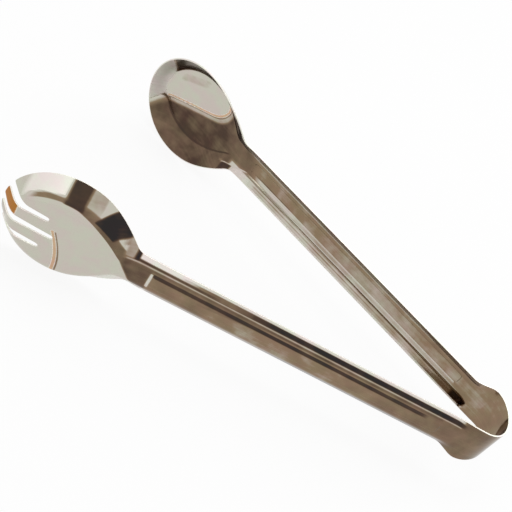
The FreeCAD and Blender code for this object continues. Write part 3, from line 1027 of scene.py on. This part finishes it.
@dataclass
class SlottedArm(PressedArm):
    """Arm whose bowl is slotted into four tines."""

    shown_inside: bool = False
    channel_bands: tuple[Band, ...] = FORK_CHANNEL
    bowl_bands: tuple[Band, ...] = FORK_BOWL
    # Where the painted brown reflection on the fork's floor ends, and one painted dark and pale
    # reflection line across the floor.
    reflection_end: float = 180.4
    reflection_slant: float = 0.75
    reflection_fade: float = 1.6
    line_along: float = 212.6
    line_turn: float = 0.45
    line_bend: float = 0.012
    line_stop: float = 4.5
    line_dark: float = 1.2
    line_pale: float = -0.6
    line_steps: tuple[float, ...] = (-0.9, -0.4, 0.0, 0.6, 1.7, 2.3)
    slot_pitch: float = 9.0
    slot_mouth: float = 4.0
    slot_root: float = 2.4
    slot_overrun: float = 1.5
    middle_slot: float = 28.0
    side_slot: float = 23.5

    def floor_reflection(
        self, painted_reflection: np.ndarray, along: np.ndarray, across: np.ndarray, beyond: np.ndarray
    ) -> np.ndarray:
        """Low painted reflection past a slanted end, with one painted reflection line across the
        floor, bent as a parabola.

        Args:
            painted_reflection: Level of the painted reflection so far.
            along: Places along the arm.
            across: Places across the arm.
            beyond: Distances of those places past the floor's limit. Not used.

        Returns:
            The painted reflection's level with the floor's on it.
        """
        bright, dark, pale = self.bright_reflection, self.line_dark, self.line_pale
        ended = along - self.reflection_end - self.reflection_slant * across
        thin = painted_reflection + (bright - painted_reflection) * smooth(ended / self.reflection_fade)
        past = along - self.line_along - self.line_turn * across - self.line_bend * across * across
        line = np.interp(past, self.line_steps, (bright, dark, dark, pale, pale, bright))
        on_line = (past > self.line_steps[0]) & (past < self.line_steps[-1])
        return np.where(on_line & (across < self.line_stop), line, thin)

    def slot_half(self, ahead: np.ndarray, root: float) -> np.ndarray:
        """Half-width of a slot that widens evenly from its root to its mouth."""
        share = np.clip((ahead - root) / (self.bowl_tip - root), 0.0, self.slot_overrun)
        return (self.slot_root + (self.slot_mouth - self.slot_root) * share) / 2.0

    def slot_path(self, centre: float, length: float) -> np.ndarray:
        """Outline of one slot: from its mouth down one side, round its root, and up the other.

        Args:
            centre: Place of the slot across the bowl.
            length: Its length from the tip's line to its root.

        Returns:
            Places relative to the bowl's middle, from high to low across.
        """
        tries, side_points, root_points = 8, 60, 24
        radius = self.slot_root / 2.0
        root = self.bowl_tip - length + radius
        sides = []
        for hand in (1.0, -1.0):
            mouth = self.bowl_tip
            for _ in range(tries):
                side = centre + hand * float(self.slot_half(np.array(mouth), root))
                mouth = self.bowl_tip * math.sqrt(1.0 - (side * 2.0 / self.bowl_width) ** 2)
            ahead = np.linspace(root, mouth, side_points)
            sides.append(np.stack([ahead, centre + hand * self.slot_half(ahead, root)], axis=-1))
        angle = np.linspace(math.pi / 2.0, 1.5 * math.pi, root_points)[1:-1]
        bottom = np.stack([root + radius * np.cos(angle), centre + radius * np.sin(angle)], axis=-1)
        return np.concatenate([sides[0][::-1], bottom, sides[1]])

    def tip_outline(self) -> np.ndarray:
        """Half ellipse of the tip with its three slots, from high to low across.

        Returns:
            Places relative to the bowl's middle.
        """
        rim = super().tip_outline()
        pitch, side = self.slot_pitch, self.side_slot
        parts, high = [], math.inf
        for centre, length in ((pitch, side), (0.0, self.middle_slot), (-pitch, side)):
            slot = self.slot_path(centre, length)
            parts += [rim[(rim[:, 1] < high) & (rim[:, 1] > slot[0, 1])], slot]
            high = slot[-1, 1]
        return np.concatenate(parts + [rim[rim[:, 1] < high]])


@dataclass
class SpringBow(SteelPiece):
    """The flat part of the strip, which turns round the pivot and is narrower in its middle."""

    strip: Strip
    arm: PressedArm
    cross_lines: int = 141
    # Levels of painted brown reflection on the bow's two faces.
    outer_reflection: float = 1.42
    inner_reflection: float = 1.08

    def half_width(self, angle: np.ndarray) -> np.ndarray:
        """Half of the bow's width, between cut edges that are arcs of circles, seen from the tips.

        Args:
            angle: Angles round the pivot from the middle plane.

        Returns:
            The half-width at each angle.
        """
        strip = self.strip
        reach = strip.bow_radius * math.cos(strip.lean)
        cut = (strip.shoulder_width - strip.bow_waist) / 2.0
        radius = (reach * reach + cut * cut) / (2.0 * cut)
        chord = np.sqrt(radius**2 - (strip.bow_radius * np.sin(angle)) ** 2)
        return strip.shoulder_width / 2.0 - (chord - (radius - cut))

    def sheet(self) -> Sheet:
        """Form of the bow: an arc of the bow's radius, with lines that scale with its width.

        Returns:
            The sheet, open at both ends.
        """
        strip = self.strip
        turn = math.pi / 2.0 - strip.lean
        angle = np.linspace(-turn, turn, self.cross_lines)
        half = self.arm.lines(*self.arm.limits(np.zeros(1), np.zeros(1))[1:])[0]
        across = np.concatenate([-half[:0:-1], half])
        scale = (self.half_width(angle) - strip.edge_round) / half[-1]
        x, z = strip.pivot
        rows, columns = len(angle), len(across)
        turns = np.repeat(angle, columns)
        level = (scale[:, None] * across[None]).ravel()
        radial = np.stack([np.cos(turns), np.sin(turns), np.zeros_like(turns)], axis=-1)
        centre = np.stack([np.full_like(level, x), np.zeros_like(level), z - level], axis=-1)
        index = np.arange(rows * columns).reshape(rows, columns)
        return Sheet(
            outer=radial * strip.bow_radius + centre,
            normal=-radial,
            shading=-radial,
            place=np.stack([-(turn - np.abs(turns)) * strip.bow_radius, level], axis=-1),
            outer_reflection=np.full_like(level, self.outer_reflection),
            inner_reflection=np.full_like(level, self.inner_reflection),
            faces=grid_quads(index),
            edges=[index[:, -1], index[::-1, 0]],
            starts=index[0],
            ends=index[-1],
        )

    def build(self) -> bpy.types.Object:
        """Make the bow's closed mesh."""
        return SheetMesher(self.strip).build("spring_bow_strip", self.sheet())

    def end(self, hand: Hand) -> tuple[float, ...]:
        """Middle of the inner face where the bow meets one arm.

        Args:
            hand: The arm's side.

        Returns:
            The place, in metres.
        """
        reach = (self.strip.bow_radius - self.strip.gauge) * math.cos(self.strip.lean)
        x, z = self.strip.pivot
        return tuple(Vector((x, hand.value * reach, z)) * MM)


@dataclass(frozen=True)
class PolishedSteel:
    """Polished stainless steel whose colour carries painted reflections, highlights and shade, with
    fine lines along the strip.

    The painted reflection's level gives the colour, as stops says, from a painted orange reflection
    at the lowest level, through painted cream and white highlights, the steel's own grey and a
    painted brown reflection, to painted black at the highest. Clouds and the drawn lines make the
    level a little uneven. Where the level is low the steel is satin, and the rest is polished.
    """

    # Colours along the painted reflection's scale: orange and cream are painted reflections, white
    # is a painted highlight, bright is the steel's own grey, warm is a painted brown reflection,
    # and dark and black are painted dark reflections and shade. Rosy and greenish are a faint tint
    # that varies at random.
    orange: Colour = (0.46, 0.2, 0.045)
    cream: Colour = (0.67, 0.48, 0.33)
    white: Colour = (0.9, 0.88, 0.86)
    bright: Colour = (0.56, 0.535, 0.49)
    warm: Colour = (0.262, 0.187, 0.124)
    dark: Colour = (0.078, 0.05, 0.037)
    black: Colour = (0.03, 0.027, 0.028)
    rosy: Colour = (1.0, 0.93, 0.92)
    greenish: Colour = (0.96, 1.0, 0.91)
    tint_range: tuple[float, float] = (0.36, 0.64)
    tint_clouds: float = 140.0
    reflection_clouds: float = 110.0
    cloud_detail: float = 3.0
    uneven_range: tuple[float, float] = (0.4, 0.85)
    uneven_share: tuple[float, float] = (0.82, 1.18)
    line_weight: float = 0.25
    line_scale: tuple[float, float, float] = (30.0, 1100.0, 1.0)
    line_detail: float = 4.0
    line_range: tuple[float, float] = (0.3, 0.7)
    line_bump: float = 0.05
    line_depth: float = 0.0002
    roughness: tuple[float, float] = (0.06, 0.15)
    satin_range: tuple[float, float] = (0.12, 0.24)
    satin_roughness: tuple[float, float] = (0.4, 0.0)

    @property
    def stops(self) -> tuple[tuple[float, Colour], ...]:
        """Levels of the painted reflection with the steel's colour at each.

        Returns:
            Pairs of level and colour, from the lowest level.
        """
        return (
            (-1.0, self.orange),
            (-0.7, self.cream),
            (-0.4, self.cream),
            (0.0, self.white),
            (0.22, self.bright),
            (0.5, self.bright),
            (1.0, self.warm),
            (2.0, self.dark),
            (3.0, self.black),
        )

    def make(self) -> bpy.types.Material:
        """Build the node material.

        Returns:
            The new material.
        """
        material = bpy.data.materials.new("polished_steel")
        tree = bare_tree(material)
        lines = self.drawn_lines(tree)
        # Level of painted reflection, highlight and shade that picks the colour and the satin.
        painted_reflection = add_node(tree, "ShaderNodeAttribute", {}, attribute_name="painted_reflection").outputs["Fac"]
        polish = add_range(tree, lines, self.line_range, self.roughness)
        satin = add_range(tree, painted_reflection, self.satin_range, self.satin_roughness)
        relief = {"Strength": self.line_bump, "Distance": self.line_depth, "Height": lines}
        bump = add_node(tree, "ShaderNodeBump", relief)
        sockets = {
            "Metallic": 1.0,
            "Base Color": self.colour(tree, painted_reflection, lines),
            "Roughness": add_math(tree, "ADD", polish, satin),
            "Normal": bump.outputs["Normal"],
        }
        shader = add_node(tree, "ShaderNodeBsdfPrincipled", sockets)
        add_node(tree, "ShaderNodeOutputMaterial", {"Surface": shader.outputs["BSDF"]})
        return material

    def drawn_lines(self, tree: bpy.types.NodeTree) -> bpy.types.NodeSocket:
        """Fine lines along the strip, as noise stretched over the sheet's own chart.

        Args:
            tree: The material's tree.

        Returns:
            The noise's level.
        """
        chart = add_node(tree, "ShaderNodeUVMap", {}, uv_map="Sheet").outputs["UV"]
        drawn = add_node(tree, "ShaderNodeMapping", {"Vector": chart, "Scale": self.line_scale})
        sockets = {"Vector": drawn.outputs["Vector"], "Scale": 1.0, "Detail": self.line_detail}
        return add_node(tree, "ShaderNodeTexNoise", sockets).outputs["Fac"]

    def cloud(self, tree: bpy.types.NodeTree, scale: float) -> bpy.types.NodeSocket:
        """Soft patches, as noise over the object's own coordinates.

        Args:
            tree: The material's tree.
            scale: How many patches lie in a metre.

        Returns:
            The noise's level.
        """
        place = add_node(tree, "ShaderNodeTexCoord", {}).outputs["Object"]
        sockets = {"Vector": place, "Scale": scale, "Detail": self.cloud_detail}
        return add_node(tree, "ShaderNodeTexNoise", sockets).outputs["Fac"]

    def colour(
        self, tree: bpy.types.NodeTree, painted_reflection: bpy.types.NodeSocket, lines: bpy.types.NodeSocket
    ) -> bpy.types.NodeSocket:
        """The painted reflection's level, made uneven, as a place on the ramp of stops, times a
        faint tint.

        Args:
            tree: The material's tree.
            painted_reflection: Level of the painted reflection.
            lines: Level of the drawn lines.

        Returns:
            The steel's colour.
        """
        clouds = self.cloud(tree, self.reflection_clouds)
        uneven = add_math(tree, "MULTIPLY_ADD", lines, self.line_weight, clouds)
        spread = add_range(tree, uneven, self.uneven_range, self.uneven_share)
        lowest, highest = self.stops[0][0], self.stops[-1][0]
        level = add_math(tree, "MULTIPLY", painted_reflection, spread)
        share = add_range(tree, level, (lowest, highest), (0.0, 1.0))
        stops = [((stop - lowest) / (highest - lowest), colour) for stop, colour in self.stops]
        tints = list(zip(self.tint_range, (self.rosy, self.greenish)))
        sockets = {
            "Factor": 1.0,
            "A": add_ramp(tree, share, stops),
            "B": add_ramp(tree, self.cloud(tree, self.tint_clouds), tints),
        }
        mix = add_node(tree, "ShaderNodeMix", sockets, data_type="RGBA", blend_type="MULTIPLY")
        return mix.outputs["Result"]


@dataclass(frozen=True)
class Lamp:
    """Soft square lamp: its name, its place and side in metres, and its power in watts."""

    name: str
    place: tuple[float, float, float]
    side: float
    power: float

    def hang(self, target: Vector) -> None:
        """Put the lamp into the scene, turned to a target.

        Args:
            target: Place that the lamp lights, in metres.
        """
        data = bpy.data.lights.new(self.name, "AREA")
        data.size = self.side
        data.energy = self.power
        lamp = add_object(self.name, data)
        lamp.location = self.place
        lamp.rotation_euler = (target - Vector(self.place)).to_track_quat("-Z", "Y").to_euler()


@dataclass(frozen=True)
class Studio:
    """Pale floor, soft lamps, pale world and the camera. Angles in degrees, lengths in metres."""

    elevation: float = 42.89
    azimuth: float = 1.95
    roll: float = 35.87
    distance: float = 0.48695
    lens: float = 70.66
    sensor: float = 36.0
    nearest: float = 0.01
    reach_back: float = 0.13
    reach_aside: float = 0.00077
    floor_half: float = 4.0
    floor_colour: Colour = (0.8, 0.8, 0.8)
    floor_seen: float = 0.88
    world_light: float = 0.7
    world_seen: float = 1.0
    lit_height: float = 0.03
    lamps: tuple[Lamp, ...] = (
        Lamp("key_lamp", (-0.15, 0.1, 1.3), 0.8, 7.0),
        Lamp("fill_lamp", (0.7, 0.8, 0.7), 0.7, 3.0),
    )

    @staticmethod
    def seen(tree: bpy.types.NodeTree) -> bpy.types.NodeSocket:
        """1 for rays that see a surface straight, mirrored or through glass, and 0 for the rest.

        Args:
            tree: The tree of the floor or the world.

        Returns:
            The larger of the three kinds of ray.
        """
        rays = add_node(tree, "ShaderNodeLightPath", {}).outputs
        straight = add_math(tree, "MAXIMUM", rays["Is Camera Ray"], rays["Is Glossy Ray"])
        return add_math(tree, "MAXIMUM", straight, rays["Is Transmission Ray"])

    def floor(self) -> bpy.types.Object:
        """Pale floor under the object, which glows faintly to the rays that see it.

        Returns:
            The floor.
        """
        half = self.floor_half
        corners = [(-half, -half, 0.0), (half, -half, 0.0), (half, half, 0.0), (-half, half, 0.0)]
        mesh = bpy.data.meshes.new("floor")
        mesh.from_pydata(corners, [], [(0, 1, 2, 3)])
        plane = add_object("floor", mesh)
        material = bpy.data.materials.new("pale_floor")
        tree = bare_tree(material)
        matt = add_node(tree, "ShaderNodeBsdfDiffuse", {"Color": (*self.floor_colour, 1.0)})
        glow = add_node(tree, "ShaderNodeEmission", {"Color": (1.0, 1.0, 1.0, 1.0)})
        sockets = {
            "Fac": add_math(tree, "MULTIPLY", self.seen(tree), self.floor_seen),
            1: matt.outputs["BSDF"],
            2: glow.outputs["Emission"],
        }
        mix = add_node(tree, "ShaderNodeMixShader", sockets)
        add_node(tree, "ShaderNodeOutputMaterial", {"Surface": mix.outputs["Shader"]})
        mesh.materials.append(material)
        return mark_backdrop(plane)

    def world(self) -> None:
        """Even pale world, which lights a little less than it shows."""
        world = bpy.data.worlds.new("pale_room")
        tree = bare_tree(world)
        sockets = {"Fac": self.seen(tree)}
        for number, strength in ((1, self.world_light), (2, self.world_seen)):
            level = {"Color": (1.0, 1.0, 1.0, 1.0), "Strength": strength}
            sockets[number] = add_node(tree, "ShaderNodeBackground", level).outputs["Background"]
        mix = add_node(tree, "ShaderNodeMixShader", sockets)
        add_node(tree, "ShaderNodeOutputWorld", {"Surface": mix.outputs["Shader"]})
        bpy.context.scene.world = world

    def camera(self, strip: Strip) -> None:
        """Camera on the fork's side, looking down at the middle of the arms, rolled with them.

        Args:
            strip: The strip, whose pivot the camera's target is measured from.
        """
        angles = (self.elevation, self.azimuth, self.roll)
        raised, swung, roll = (math.radians(angle) for angle in angles)
        level = math.cos(raised)
        back = Vector((math.sin(swung) * level, -math.cos(swung) * level, math.sin(raised)))
        right = Vector((math.cos(swung), math.sin(swung), 0.0))
        up = back.cross(right)
        turned_right = math.cos(roll) * right + math.sin(roll) * up
        turned_up = math.cos(roll) * up - math.sin(roll) * right
        x, z = strip.pivot
        target = Vector((x * MM - self.reach_back, self.reach_aside, z * MM))
        data = bpy.data.cameras.new("camera")
        data.lens = self.lens
        data.sensor_width = self.sensor
        data.clip_start = self.nearest
        camera = add_object("camera", data)
        axes = Matrix((turned_right, turned_up, back)).transposed()
        camera.matrix_world = Matrix.Translation(target + back * self.distance) @ axes.to_4x4()
        bpy.context.scene.camera = camera

    def build(self, strip: Strip) -> None:
        """Set up floor, world, lamps and camera.

        Args:
            strip: The strip that the camera looks at.
        """
        self.floor()
        self.world()
        for lamp in self.lamps:
            lamp.hang(Vector((0.0, 0.0, self.lit_height)))
        self.camera(strip)
        bpy.context.scene.view_settings.view_transform = "Standard"


def report(piece: bpy.types.Object) -> None:
    """Log a piece's name and its number of faces."""
    log.info("%s: %d faces", piece.name, len(piece.data.polygons))


def main() -> None:
    """Build both arms and the bow, dress them, and set up the studio."""
    logging.basicConfig(level=logging.INFO)
    strip = Strip.from_joint(frame["joints"][0])
    steel = PolishedSteel().make()
    spoon = PressedArm(strip, Hand.SPOON)
    fork = SlottedArm(strip, Hand.FORK)
    for arm, node, body in ((spoon, "spoon_arm", "spoon_side"), (fork, "fork_arm", "fork_side")):
        piece = arm.build()
        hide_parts(node)
        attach(piece, body)
        arm.dress(piece, steel)
        report(piece)
    bow = SpringBow(strip, spoon)
    piece = bow.build()
    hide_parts("spring_bow")
    bow.end(Hand.FORK)
    bow.end(Hand.SPOON)
    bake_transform(piece)
    bow.dress(piece, steel)
    report(piece)
    Studio().build(strip)


if __name__ == "__main__":
    main()
